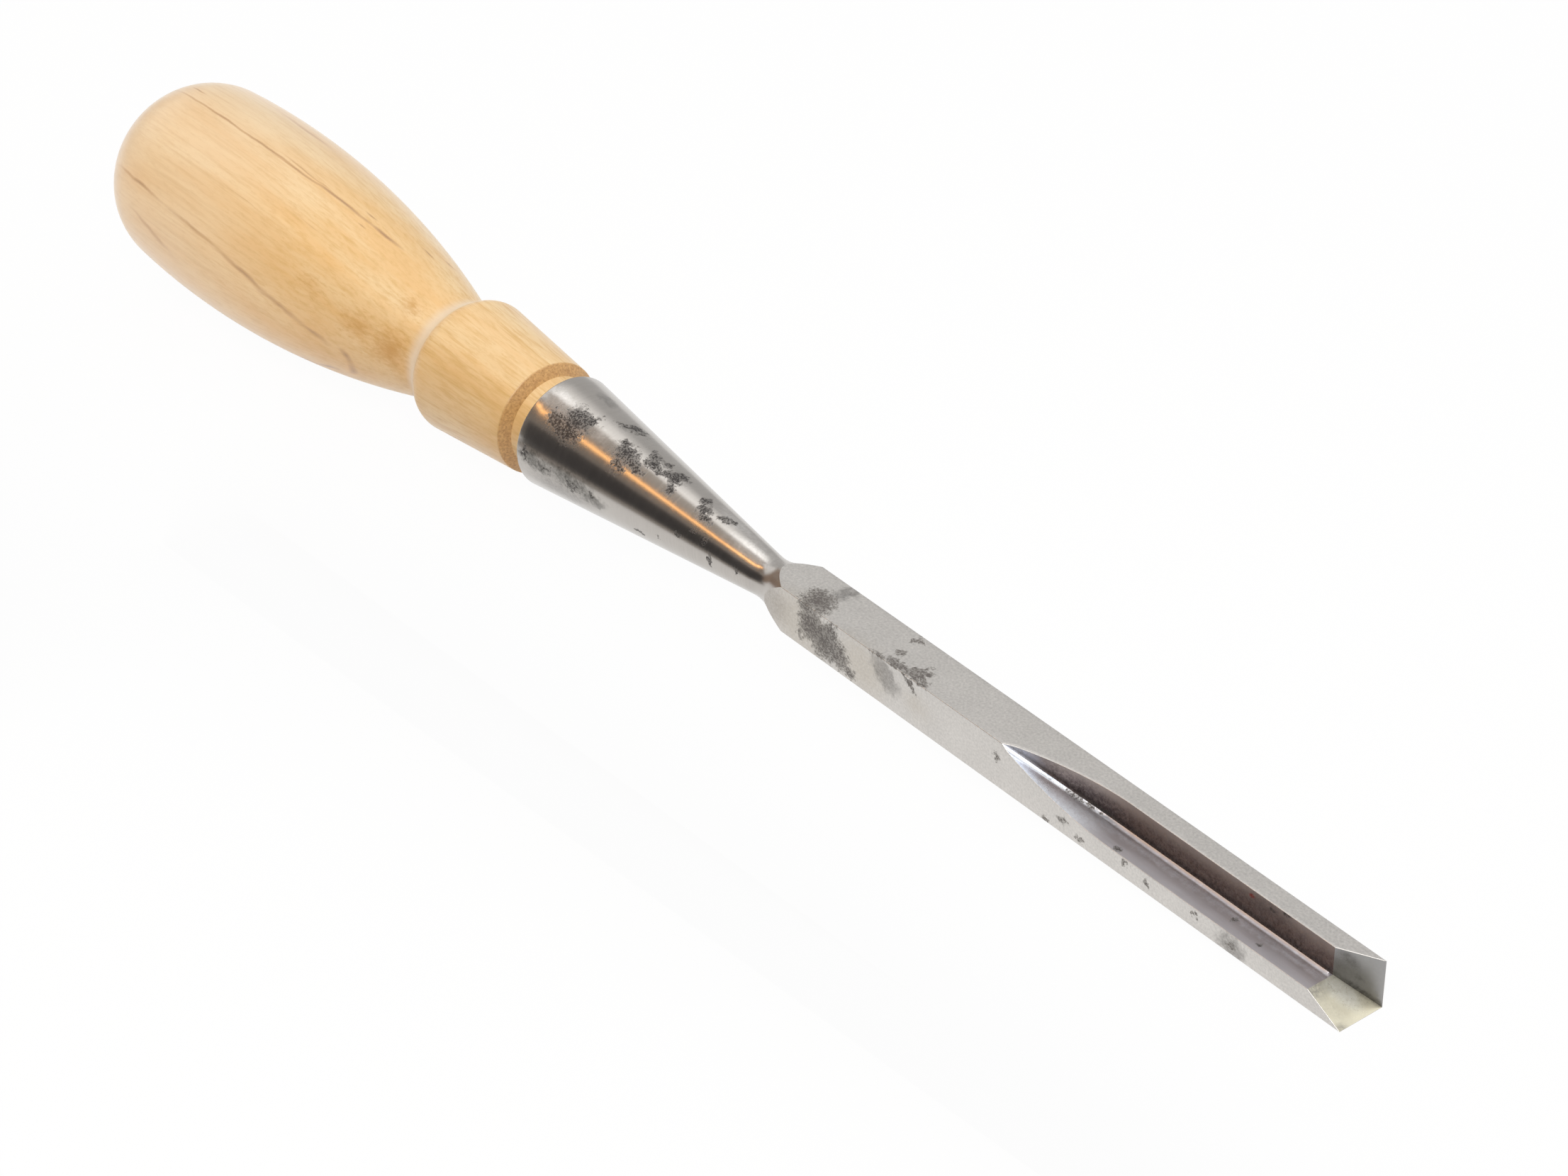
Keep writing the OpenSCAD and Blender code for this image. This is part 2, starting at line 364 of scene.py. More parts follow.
def handleOutline():
    tipX = mouthX - blade["boreDepth"] + handle["tenonEndRoom"]
    chamferX = tipX + handle["tenonChamfer"]
    rootX = shoulderX - handle["shoulderSlope"]
    root = (rootX, tenonRadius(rootX))
    shoulder = (shoulderX, handle["shoulderD"] / 2)
    barrelEnd = (shoulderX + handle["barrelLen"], handle["barrelD"] / 2)
    barrelAngle = heading(shoulder, barrelEnd)
    edgeR, coveR = handle["barrelEdgeR"], handle["coveR"]
    edge = (barrelEnd[0] + edgeR * math.sin(math.radians(barrelAngle)),
            barrelEnd[1] - edgeR * math.cos(math.radians(barrelAngle)))
    coveRise = handle["coveD"] / 2 + coveR - edge[1]
    cove = (edge[0] + math.sqrt((edgeR + coveR) ** 2 - coveRise ** 2), edge[1] + coveRise)
    gripRun = shoulderX + handle["gripX"] - cove[0]
    gripDrop = cove[1] - handle["gripD"] / 2
    gripR = (gripRun ** 2 + gripDrop ** 2 - coveR ** 2) / (handle["gripD"] - handle["coveD"])
    grip = (shoulderX + handle["gripX"], handle["gripD"] / 2 - gripR)
    dome = (buttX - handle["buttDomeR"], 0)
    butt = meeting(grip, gripR - handle["buttEdgeR"], dome, handle["buttDomeR"] - handle["buttEdgeR"])
    edgeToCove, coveToGrip = heading(edge, cove), heading(cove, grip)
    gripToButt, buttToDome = heading(grip, butt), heading(dome, butt)
    outline = [(tipX, 0), (tipX, tenonRadius(tipX) - handle["tenonChamfer"]),
               (chamferX, tenonRadius(chamferX))]
    outline += between(outline[-1], root, handle["tenonSteps"]) + [root]
    outline += roundedCorner(root, shoulder, barrelEnd, handle["shoulderEdgeR"])
    outline += between(outline[-1], barrelEnd, handle["barrelSteps"])
    outline += arcPoints(edge, edgeR, 90 + barrelAngle, edgeToCove, handle["barrelEdgeSteps"])
    outline += arcPoints(cove, coveR, edgeToCove + 180, coveToGrip + 360, handle["coveSteps"])[1:]
    outline += arcPoints(grip, gripR, coveToGrip + 180, gripToButt, handle["gripSteps"])[1:]
    outline += arcPoints(butt, handle["buttEdgeR"], gripToButt, buttToDome, handle["buttEdgeSteps"])[1:]
    outline += arcPoints(dome, handle["buttDomeR"], buttToDome, 0, handle["domeSteps"])[1:]
    return outline


def latheTree():
    # Geometry Nodes lathe: the outline is swept round a circle and laid along the tool
    tree = bpy.data.node_groups.new("turnedOnLathe", "GeometryNodeTree")
    sockets = (("Outline", "Geometry"), ("Sides", "Int"), ("Swing", "Float"), ("Axis Offset", "Vector"),
               ("Weld", "Float"), ("Finish", "Material"))
    for name, kind in sockets:
        tree.interface.new_socket(name, in_out="INPUT", socket_type="NodeSocket" + kind)
    tree.interface.new_socket("Turned", in_out="OUTPUT", socket_type="NodeSocketGeometry")
    given = addNode(tree, "NodeGroupInput").outputs
    profile = addNode(tree, "MeshToCurve", {"Mesh": given["Outline"]})
    swing = addNode(tree, "CurvePrimitiveCircle", {"Resolution": given["Sides"], "Radius": given["Swing"]})
    swept = addNode(tree, "CurveToMesh", {"Curve": swing, "Profile Curve": profile})
    laid = addNode(tree, "Transform", {"Geometry": swept, "Translation": given["Axis Offset"],
                                       "Rotation": (0, math.pi / 2, 0)})
    welded = addNode(tree, "MergeByDistance", {"Geometry": laid, "Distance": given["Weld"]})
    real = addNode(tree, "RealizeInstances", {"Geometry": welded})
    finished = addNode(tree, "SetMaterial", {"Geometry": real, "Material": given["Finish"]})
    addNode(tree, "NodeGroupOutput", {"Turned": finished})
    return tree


def makeHandle(finish):
    swing = handle["swing"] * mm
    points = [((r * mm - swing), -x * mm, 0) for x, r in handleOutline()]
    line = bpy.data.meshes.new("handleOutline")
    line.from_pydata(points, [(i, i + 1) for i in range(len(points) - 1)], [])
    turning = newObject("handleOutline", line)
    tree = latheTree()
    lathe = turning.modifiers.new("lathe", "NODES")
    sizes = {"Sides": handle["sides"], "Swing": swing, "Axis Offset": (0, axis * mm, axis * mm),
             "Weld": handle["weld"] * mm, "Finish": finish}
    lathe.node_group = tree
    for item in tree.interface.items_tree:
        if item.in_out == "INPUT" and item.name in sizes:
            lathe[item.identifier] = sizes[item.name]
    evaluated = turning.evaluated_get(bpy.context.evaluated_depsgraph_get())
    mesh = bpy.data.meshes.new_from_object(evaluated)
    mesh.name = "handle"
    turning.modifiers.clear()
    bpy.data.objects.remove(turning)
    shape = bmesh.new()
    shape.from_mesh(mesh)
    finishMesh(shape, mesh, handle["weld"], handle["crease"])
    return newObject("handle_wood", mesh)


def millimetres(tree):
    # a point's place in mm, measured from the tool's axis
    coords = addNode(tree, "TexCoord").outputs["Object"]
    return addNode(tree, "VectorMath", (coords, (1 / mm,) * 3, (0, -axis, -axis)), operation="MULTIPLY_ADD")


def softOvals(tree, at, marks):
    # a mark gives its strength in the middle of its oval and 1 less at the rim, and the largest counts
    cover = None
    for x, y, halfX, halfY, tilt, strength in marks:
        oval = addNode(tree, "Mapping", {"Vector": at, "Location": (x, y, 0), "Scale": (halfX, halfY, 1),
                                         "Rotation": (0, 0, math.radians(tilt))}, vector_type="TEXTURE")
        far = addNode(tree, "VectorMath", (oval,), operation="LENGTH").outputs["Value"]
        near = addNode(tree, "Math", (strength, far), operation="SUBTRACT")
        cover = near if cover is None else addNode(tree, "Math", (cover, near), operation="MAXIMUM")
    return cover


# Tool steel, hardened and ground. The bar is matt from the grinding wheel, the socket is turned and
# polished so that it mirrors the room in bands, and both carry gray oxide blooms with mossy edges.
# A bloom is x, place round the tool, half sizes, tilt and strength. On the socket the place is in
# degrees (0 at the near side, 90 on top), on the bar in mm from the ridge between near side and top.
# A wash is a thin film of one colour over such ovals; some washes are stains, others are painted light and
# shade. The oxide is a gray haze full of darker specks.
# Lines are pitches in mm along x, y and z, round is the radius at which the socket is unrolled, and
# polish is the share of the roughness at the flute's bottom and at its run-out.
steel = {
    "turned": {
        "name": "turned_tool_steel", "tone": "#BDB8B2", "rough": (0.20, 0.24), "lines": (0.22, 7.0, 7.0),
        "grain": (0.96, 1.03), "bump": 0.015, "round": 7.5, "pull": 3.8, "oxide": ("#74706C", "#302C2B"),
        "blooms": ((165.2, 64, 3.2, 19, 0, 1.0), (163.7, 71, 1.9, 12, 0, 0.88),
                   (168.0, 53, 2.4, 11, 0, 1.0), (165.4, 48, 3.4, 11, 0, 1.05),
                   (163.1, 83, 1.4, 9, 0, 0.5), (154.7, 71, 2.5, 15, 0, 1.0),
                   (152.6, 67, 1.8, 11, 0, 0.9), (154.4, 51, 1.9, 11, 0, 0.95),
                   (150.8, 62, 1.3, 9, 0, 0.85), (156.1, 78, 1.5, 10, 0, 0.8),
                   (150.0, 83, 1.7, 11, 0, 0.95), (148.0, 79, 1.5, 11, 0, 0.9),
                   (146.8, 84, 1.3, 10, 0, 0.9), (151.3, 93, 1.5, 11, 0, 0.85),
                   (148.9, 97, 1.3, 9, 0, 0.75), (145.4, 88, 1.6, 15, 0, 1.0),
                   (144.4, 69, 1.3, 11, 0, 0.85), (144.7, 98, 1.3, 9, 0, 0.85),
                   (138.7, 92, 1.3, 13, 0, 0.88), (137.5, 77, 1.4, 13, 0, 1.0),
                   (136.2, 66, 1.6, 10, 0, 0.9), (134.0, 88, 1.1, 11, 0, 1.0),
                   (133.0, 97, 0.9, 9, 0, 0.9), (158.4, 106, 3.2, 6, -40, 0.9),
                   (156.6, 106, 2.0, 5, -40, 0.75), (171.5, 5, 1.2, 16, 0, 0.6),
                   (167.0, 2, 4.0, 12, 0, 0.4), (161.4, -4, 3.6, 16, 0, 0.42),
                   (157.1, -3, 0.6, 7, 0, 0.8), (147.3, -18, 0.8, 7, 0, 0.8),
                   (142.7, -8, 0.6, 5, 0, 0.75), (132.1, 0, 0.6, 17, 0, 0.85),
                   (126.9, 10, 0.6, 14, 0, 0.85), (139.0, 16, 1.0, 6, 0, 0.85),
                   (134.0, 29, 0.6, 9, 0, 0.85), (136.4, 34, 0.5, 6, 0, 0.8),
                   (162.0, 190, 5.0, 28, 0, 0.9), (142.0, 214, 3.0, 24, 0, 0.8)),
        "washes": (("#6A6764", 0.55, ((164.0, -20, 9.5, 18, 0, 0.95), (166.0, 110, 4.5, 15, 0, 0.7),
                                      (158.0, 107, 4.0, 12, -40, 0.8), (165.0, 60, 3.6, 20, 0, 0.4),
                                      (153.5, 66, 3.4, 18, 0, 0.3))),
                   # painted highlight: this pale film widens and lifts the socket's bright reflected band
                   # near the neck and at the mouth
                   ("#E8E4E0", 0.7, ((126.0, 70, 6.0, 52, 0, 1.0), (132.0, 102, 8.0, 24, 0, 0.8),
                                     (171.0, 68, 6.0, 18, 0, 0.95), (160.0, 66, 3.5, 14, 0, 0.7))),
                   ("#55534E", 0.95, ((168.5, 2, 6.0, 14, 0, 0.95), (161.5, 2, 5.5, 13, 0, 1.05),
                                      (157.0, -6, 4.5, 13, 0, 0.9)))),
    },
    "flats": {
        "name": "ground_tool_steel", "tone": "#D3CFCA", "rough": (0.30, 0.38), "lines": (0.4, 0.4, 0.4),
        "grain": (0.86, 1.11), "bump": 0.10, "pull": 3.8, "oxide": ("#918D87", "#67615D"),
        "blooms": ((110.3, 2.3, 2.9, 2.6, 0, 1.0), (108.2, 1.4, 2.2, 2.2, 0, 0.85),
                   (110.4, -0.2, 2.0, 1.8, 0, 0.9), (109.2, -3.0, 3.2, 3.4, 0, 1.0),
                   (106.2, -4.2, 4.0, 3.6, 0, 1.0), (103.2, -4.8, 3.3, 3.4, 0, 0.82),
                   (100.6, -6.6, 2.4, 1.9, 0, 0.68), (104.4, -1.6, 2.0, 1.8, 0, 0.85),
                   (111.6, -5.6, 1.8, 2.4, 0, 0.55), (90.4, 1.0, 2.9, 0.9, 0, 1.0),
                   (88.1, 2.5, 2.1, 0.5, -45, 1.1), (87.2, 2.1, 2.2, 0.5, -33, 1.1),
                   (86.5, 1.3, 2.4, 0.5, -10, 1.1), (86.3, 0.5, 2.6, 0.5, 5, 1.1),
                   (87.5, -0.9, 2.4, 0.55, 39, 1.1), (92.5, 3.0, 1.1, 0.9, 0, 0.85),
                   (94.4, 0.1, 2.0, 0.45, 0, 0.85), (93.2, 7.1, 1.2, 1.1, 0, 0.85),
                   (93.8, 6.1, 1.0, 0.7, 0, 0.75), (20.9, -6.8, 1.6, 1.1, 0, 0.6),
                   (28.0, -5.5, 0.8, 0.8, 0, 0.75), (37.5, -6.5, 0.7, 0.7, 0, 0.75),
                   (42.0, -5.5, 1.0, 0.8, 0, 0.75), (50.9, -6.8, 1.0, 0.8, 0, 0.8),
                   (54.5, -5.6, 1.1, 1.0, 0, 0.8), (58.0, -7.5, 0.9, 0.7, 0, 0.75),
                   (68.6, -3.0, 0.8, 1.5, 0, 0.75)),
        # a warm beige tint that is also painted shade, darkening the near side toward the socket
        "washes": (("#B4A790", 0.42, ((112.0, -4.0, 9.0, 7.0, 0, 1.0), (98.0, -4.0, 9.0, 7.0, 0, 0.9),
                                      (86.0, -4.0, 9.0, 6.0, 0, 0.5))),
                   # painted shadow on the near flat where it meets the turned shoulder
                   ("#8E857C", 0.5, ((118.6, -3.8, 5.5, 4.4, 0, 1.05),)),
                   ("#66625F", 0.7, ((92.6, -2.6, 3.1, 2.0, 32, 1.35), (108.6, 6.2, 1.7, 3.0, 8, 1.05),
                                     (109.8, 2.2, 3.2, 3.0, 0, 0.8), (106.6, -4.0, 6.4, 4.6, 0, 0.68),
                                     (91.0, 0.8, 4.0, 1.2, 0, 0.7), (20.9, -6.7, 2.8, 1.9, 0, 1.25)))),
    },
    "fluteFloor": {
        "name": "wheel_ground_steel", "tone": "#C3BFC2", "rough": (0.38, 0.46), "lines": (6.0, 0.3, 0.3),
        "grain": (0.96, 1.03), "bump": 0.08, "polish": (0.85, 0.6), "pull": 1.4,
        "oxide": ("#8A8682", "#4E4946"),
        "blooms": ((22.8, -2.2, 0.8, 0.8, 0, 0.75), (44.0, -4.0, 1.0, 0.7, 0, 0.85),
                   (17.0, -3.2, 0.8, 0.7, 0, 0.75), (55.6, -0.4, 2.0, 0.7, 0, 1.1),
                   (52.8, -0.3, 0.9, 0.6, 0, 1.0), (50.9, -0.3, 0.6, 0.5, 0, 0.9)),
        # painted light: #EEF0F8 is a pale band along the floor beside the bottom line, and #F6FAFF and
        # #DCE3EE are painted highlights on the run-out
        "washes": (("#EEF0F8", 0.9, ((24.0, -1.4, 60.0, 1.1, 0, 1.0),)),
                   ("#F6FAFF", 1.0, ((57.5, -2.0, 9.5, 9.0, 0, 1.1),)),
                   ("#DCE3EE", 0.8, ((68.0, -2.0, 10.0, 9.0, 0, 1.0),)),
                   # dark specks along the bottom line, and painted shade that dims the bottom line's bright
                   # reflection toward the run-out
                   ("#4E5158", 0.8, ((60.0, 0.1, 4.5, 0.7, 0, 1.1), (50.0, -0.4, 4.5, 0.6, 0, 0.8))),
                   ("#5A5E68", 0.8, ((57.5, 0.1, 5.5, 0.55, 0, 1.1),))),
    },
    # a shaded copy of the flute's steel: its darker, browner tone is painted shade on the upright wall
    "fluteWall": {
        "name": "wheel_ground_steel_painted_shade", "tone": "#8D827D", "rough": (0.38, 0.46),
        "lines": (6.0, 0.3, 0.3), "grain": (0.96, 1.03), "bump": 0.08, "polish": (1.0, 1.2), "pull": 0.9,
        "oxide": ("#57504C", "#2A2624"),
        "blooms": ((15.5, 4.5, 1.0, 0.5, 0, 0.85), (18.0, 3.6, 0.8, 0.5, 0, 0.8),
                   (51.5, 0.3, 5.0, 0.5, 0, 0.9)),
        # painted shade: #3F3434 darkens the whole wall and #2A2224 the wall toward the run-out; #E4E9F6 is
        # a painted highlight at the run-out's end
        "washes": (("#3F3434", 0.9, ((26.0, 0.6, 70.0, 3.4, 0, 1.15),)),
                   ("#8A2A24", 1.0, ((22.0, 3.6, 0.6, 0.45, 0, 1.1),)),
                   ("#2A2224", 0.75, ((52.0, 0.9, 9.0, 3.2, 0, 1.0),)),
                   ("#E4E9F6", 0.9, ((70.0, 0.6, 9.0, 4.5, 0, 1.0),)),
                   ("#2E2626", 0.4, ((19.0, 3.8, 6.0, 1.8, 0, 1.0),))),
    },
    "bevelFloor": {
        "name": "honed_bevel", "tone": "#E6DFC6", "rough": (0.26, 0.34), "lines": (0.5, 0.5, 0.5),
        "grain": (0.96, 1.03), "bump": 0.06, "pull": 0.9,
        # painted light and shade: these films darken the bevel's outer side and its end toward the flute,
        # and lighten its inner side beside the wall
        "washes": (("#B4AE9C", 0.6, ((3.4, -5.6, 4.6, 2.4, 0, 1.0),)),
                   ("#8A867E", 0.95, ((6.5, -4.4, 2.7, 4.2, 0, 1.0), (0.3, -7.2, 1.8, 2.2, 0, 0.65))),
                   ("#FFFDF0", 1.0, ((4.0, -1.6, 3.6, 1.9, 28, 1.1),))),
    },
    # a shaded copy of the bevel's steel: its grayer tone and its dark films, darkest at the root, are
    # painted shade
    "bevelWall": {
        "name": "honed_bevel_shaded", "tone": "#A3A2A2", "rough": (0.30, 0.38), "lines": (0.5, 0.5, 0.5),
        "grain": (0.96, 1.03), "bump": 0.06, "pull": 0.9,
        "washes": (("#4E4A48", 0.5, ((4.6, 1.6, 4.0, 5.0, 0, 1.0),)),
                   ("#55524F", 0.55, ((4.4, 4.4, 1.7, 1.3, 20, 1.0), (3.0, 2.4, 1.6, 0.9, 0, 0.6))),
                   ("#2E2C2C", 0.75, ((3.2, 0.1, 5.5, 1.1, 0, 1.0),))),
    },
}


# What the finishes share. A noise is its scale in 1/mm, detail and roughness, and the rest are ramps
# and shares.
steelMarks = {
    "noises": {"lines": (1.0, 3.0, 0.6), "patches": (0.16, 4.0, 0.65), "specks": (2.0, 6.0, 0.85),
               "pull": (0.8, 4.0, 0.6), "grit": (3.4, 3.0, 0.7)},
    "noiseRange": (0.3, 0.7), "cloud": (0.95, 1.03), "lineDepth": 0.05,
    "bottom": (0.7, 1.5), "runOut": (50.0, 60.0),       # mm from the flute's bottom line, and x in mm
    "film": (-0.1, 0.75), "filmSpecks": (0.35, 0.62, 0.4, 1.0),
    "bloomSpecks": 2.6, "bloom": (1.25, 1.6), "haze": 0.68, "hazeRough": 0.55,
    "gritShift": 0.16, "flecks": (0.5, 0.66, 0.0, 0.92), "fleckMetal": 0.5,
}


def makeSteel(look):
    material, tree = startMaterial(look["name"])
    inMm = millimetres(tree)
    place = addNode(tree, "SeparateXYZ", (inMm,)).outputs
    # unroll the surface: round the socket by angle, over the bar's ridge by distance
    if "round" in look:
        turn = addNode(tree, "Math", (place["Z"], place["Y"]), operation="ARCTAN2")
        girth = addNode(tree, "Math", (turn, look["round"]), operation="MULTIPLY")
        unit = math.radians(look["round"])
    else:
        girth = addNode(tree, "Math", (place["Z"], place["Y"]), operation="SUBTRACT")
        unit = 1.0
    unrolled = addNode(tree, "CombineXYZ", (place["X"], girth))

    def laid(marks):
        # places and half sizes round the tool as lengths on the unrolled surface
        return [(x, (g if g <= 180 else g - 360) * unit, half, side * unit, tilt, strength)
                for x, g, half, side, tilt, strength in marks]

    # grinding or turning lines, far finer in real life and drawn wide enough to show
    perLine = tuple(1 / size for size in look["lines"])
    stretched = addNode(tree, "VectorMath", (inMm, perLine), operation="MULTIPLY")
    noise = {}
    for name, (scale, detail, roughness) in steelMarks["noises"].items():
        if name != "grit" or "blooms" in look:
            at = stretched if name == "lines" else inMm
            noise[name] = addNode(tree, "TexNoise", {"Vector": at, "Scale": scale, "Detail": detail,
                                                     "Roughness": roughness})
    grain = addNode(tree, "MapRange", (noise["lines"], *steelMarks["noiseRange"], *look["grain"]))
    cloud = addNode(tree, "MapRange", (noise["patches"], *steelMarks["noiseRange"], *steelMarks["cloud"]))
    shade = addNode(tree, "Math", (grain, cloud), operation="MULTIPLY")
    colour = addNode(tree, "Mix", {"Factor": 1.0, "A": linearFromHex(look["tone"]), "B": shade},
                     data_type="RGBA", blend_type="MULTIPLY").outputs["Result"]
    rough = addNode(tree, "MapRange", (noise["lines"], *steelMarks["noiseRange"], *look["rough"]))
    if "polish" in look:
        # the wheel left the flute's bottom and its run-out smoother or rougher than its sides
        off = addNode(tree, "Math", (girth,), operation="ABSOLUTE")
        bottom = addNode(tree, "MapRange", (off, *steelMarks["bottom"], look["polish"][0], 1.0))
        end = addNode(tree, "MapRange", (place["X"], *steelMarks["runOut"], 1.0, look["polish"][1]))
        share = addNode(tree, "Math", (bottom, end), operation="MULTIPLY")
        rough = addNode(tree, "Math", (rough, share), operation="MULTIPLY")
    # the borders of the washes and blooms are pulled about, then broken into specks
    drift = noise["pull"].outputs["Color"]
    centred = addNode(tree, "VectorMath", (drift, (0.5,) * 3), operation="SUBTRACT")
    pulled = addNode(tree, "VectorMath", (centred, (look["pull"], look["pull"], 0), unrolled),
                     operation="MULTIPLY_ADD")
    uneven = addNode(tree, "MapRange", (noise["specks"], *steelMarks["filmSpecks"]))
    layers = []
    for tint, most, ovals in look["washes"]:
        covered = softOvals(tree, pulled, laid(ovals))
        film = addNode(tree, "MapRange", (covered, *steelMarks["film"], 0.0, most),
                       interpolation_type="SMOOTHSTEP")
        layers.append((addNode(tree, "Math", (film, uneven), operation="MULTIPLY"), tint))
    metallic = 1.0
    if "blooms" in look:
        cover = softOvals(tree, pulled, laid(look["blooms"]))
        ragged = addNode(tree, "Math", (noise["specks"], steelMarks["bloomSpecks"], cover),
                         operation="MULTIPLY_ADD")
        bloom = addNode(tree, "MapRange", (ragged, *steelMarks["bloom"]), interpolation_type="SMOOTHSTEP")
        thick = addNode(tree, "Math", (cover, steelMarks["gritShift"], noise["grit"]),
                        operation="MULTIPLY_ADD")
        flecked = addNode(tree, "MapRange", (thick, *steelMarks["flecks"]), interpolation_type="SMOOTHSTEP")
        hazed = addNode(tree, "Math", (bloom, steelMarks["haze"]), operation="MULTIPLY")
        specked = addNode(tree, "Math", (bloom, flecked), operation="MULTIPLY")
        layers += zip((hazed, specked), look["oxide"])
        rough = addNode(tree, "Mix", {"Factor": hazed, "A": rough, "B": steelMarks["hazeRough"]})
        metallic = addNode(tree, "MapRange", (specked, 0.0, 1.0, 1.0, steelMarks["fleckMetal"]))
    for share, tint in layers:
        colour = addNode(tree, "Mix", {"Factor": share, "A": colour, "B": linearFromHex(tint)},
                         data_type="RGBA").outputs["Result"]
    relief = addNode(tree, "Bump", {"Height": noise["lines"], "Strength": look["bump"],
                                    "Distance": steelMarks["lineDepth"] * mm})
    surface = addNode(tree, "BsdfPrincipled", {"Base Color": colour, "Roughness": rough, "Normal": relief,
                                               "Metallic": metallic})
    addNode(tree, "OutputMaterial", {"Surface": surface})
    return material


# Maple, turned and given a clear satin coat: pale gold with fine lengthwise lines and flecks, a few
# gray-brown mineral streaks where a growth ring meets the surface, brown end grain on the shoulder.
wood = {
    "name": "turned_maple", "tone": "#EFC485", "light": "#F7D7A3", "deep": "#DBAC63", "tan": "#CE9648",
    "streak": "#8A6048", "glow": "#CB9C68", "endDark": "#B27E44", "endLight": "#E6B674", "pale": "#F8E6CC",
    "ringFace": (0, 0.942, -0.335), "ringSide": (0, 0.335, 0.942),     # across and along the growth rings
    # pitch in mm along, across and round the rings, detail and roughness
    "figure": {"broad": ((40, 4.0, 9.0), 4.0, 0.6), "lines": ((22, 0.55, 0.7), 3.0, 0.6),
               "flecks": ((2.6, 0.5, 0.5), 4.0, 0.7), "breaks": ((7, 2.0, 3.0), 3.0, 0.6)},
    "lightRange": (0.35, 0.65), "lineRange": (0.47, 0.72), "fleckRange": (0.5, 0.75, 0.0, 0.5),
    "lineMost": (195.0, 206.0, 0.75, 0.5),      # the lines show most on the barrel: from x, to x, shares
    # blotches: x, angle round the handle, half sizes in mm and degrees, tilt, strength
    "blotches": ((206.3, 14, 4.6, 24, 0, 1.05), (213.0, 20, 7.0, 20, 0, 0.75),
                 (206.5, 60, 3.6, 16, 0, 0.75), (224.0, 30, 9.0, 22, 0, 0.45)),
    "mottleFlecks": 1.6, "mottleRange": (0.75, 1.9, 0.0, 0.75),
    # covePale is a painted highlight at the bottom of the cove, which also lifts its shade
    "coveX": 200.6, "covePale": (0.3, 3.2, 0.75, 0.0),      # mm from the cove's bottom, and shares
    # paler toward the butt: partly the wood's own tone, and at the butt's end a painted milky highlight
    "paleTowardButt": ((228, 256, 0.25), (260, 282, 0.7)),            # toward the butt: from x, to x, share
    # streaks: x, depth across the rings, half length, half width, lean in degrees, strength
    "streaks": ((264, -3.6, 16, 0.32, 0, 1.0), (250, -3.7, 14, 0.34, 1.0, 0.95),
                (240, -3.87, 12, 0.34, 2.7, 0.95), (230, -4.3, 10, 0.34, 1.7, 1.15),
                (240, -4.55, 12, 0.32, 0, 0.7), (229, 13.3, 9, 0.36, 3.0, 0.9),
                (238, 13.36, 13, 0.4, 0, 0.85), (252, 13.04, 14, 0.4, -1.1, 0.8),
                (268, 12.2, 12, 0.36, -5.4, 0.85), (263, 15.75, 11, 0.36, -6.1, 0.7),
                (272.8, -5.7, 3.0, 0.24, 0, 0.9), (252, -12.2, 16, 0.8, 0, 0.7),
                (219.9, -4.6, 3.8, 0.36, 1.7, 1.25), (225, -5.85, 2.0, 0.24, 0, 0.95),
                (214.2, -7.75, 2.0, 0.24, 0, 0.95), (212, -9.4, 1.7, 0.24, 0, 0.9),
                (224, -3.15, 1.6, 0.24, 0, 0.8), (222, 12.84, 5.0, 0.24, 8.2, 0.85),
                (215.2, 11.8, 1.8, 0.20, 7.4, 0.95), (245, 5.6, 14, 0.34, 0, 0.45),
                (230, 2.4, 10, 0.34, 0, 0.4)),
    "waver": (0.12, 3.0, 0.9),      # scale in 1/mm, detail and mm
    "streakBreaks": 0.9, "streakRim": (-0.1, 0.4),
    "streakLayers": ((0.25, 1.2, 0.7, "glow"), (0.95, 1.6, 0.5, "streak")),
    "rimFade": (0.25, -0.05), "rootFade": (-0.02, 0.04),    # mm from shoulder's rim and tenon's root
    "pores": (2.4, 4.0, 0.7), "poreRange": (0.3, 0.68),
    "rough": (0.3, 0.7, 0.42, 0.55), "bump": 0.06, "lineDepth": 0.1, "ior": 1.5,
    "coat": 0.45, "coatRough": 0.22, "fuzz": (200.0, 274.0, 0.12, 0.5), "fuzzRough": 0.35,
}


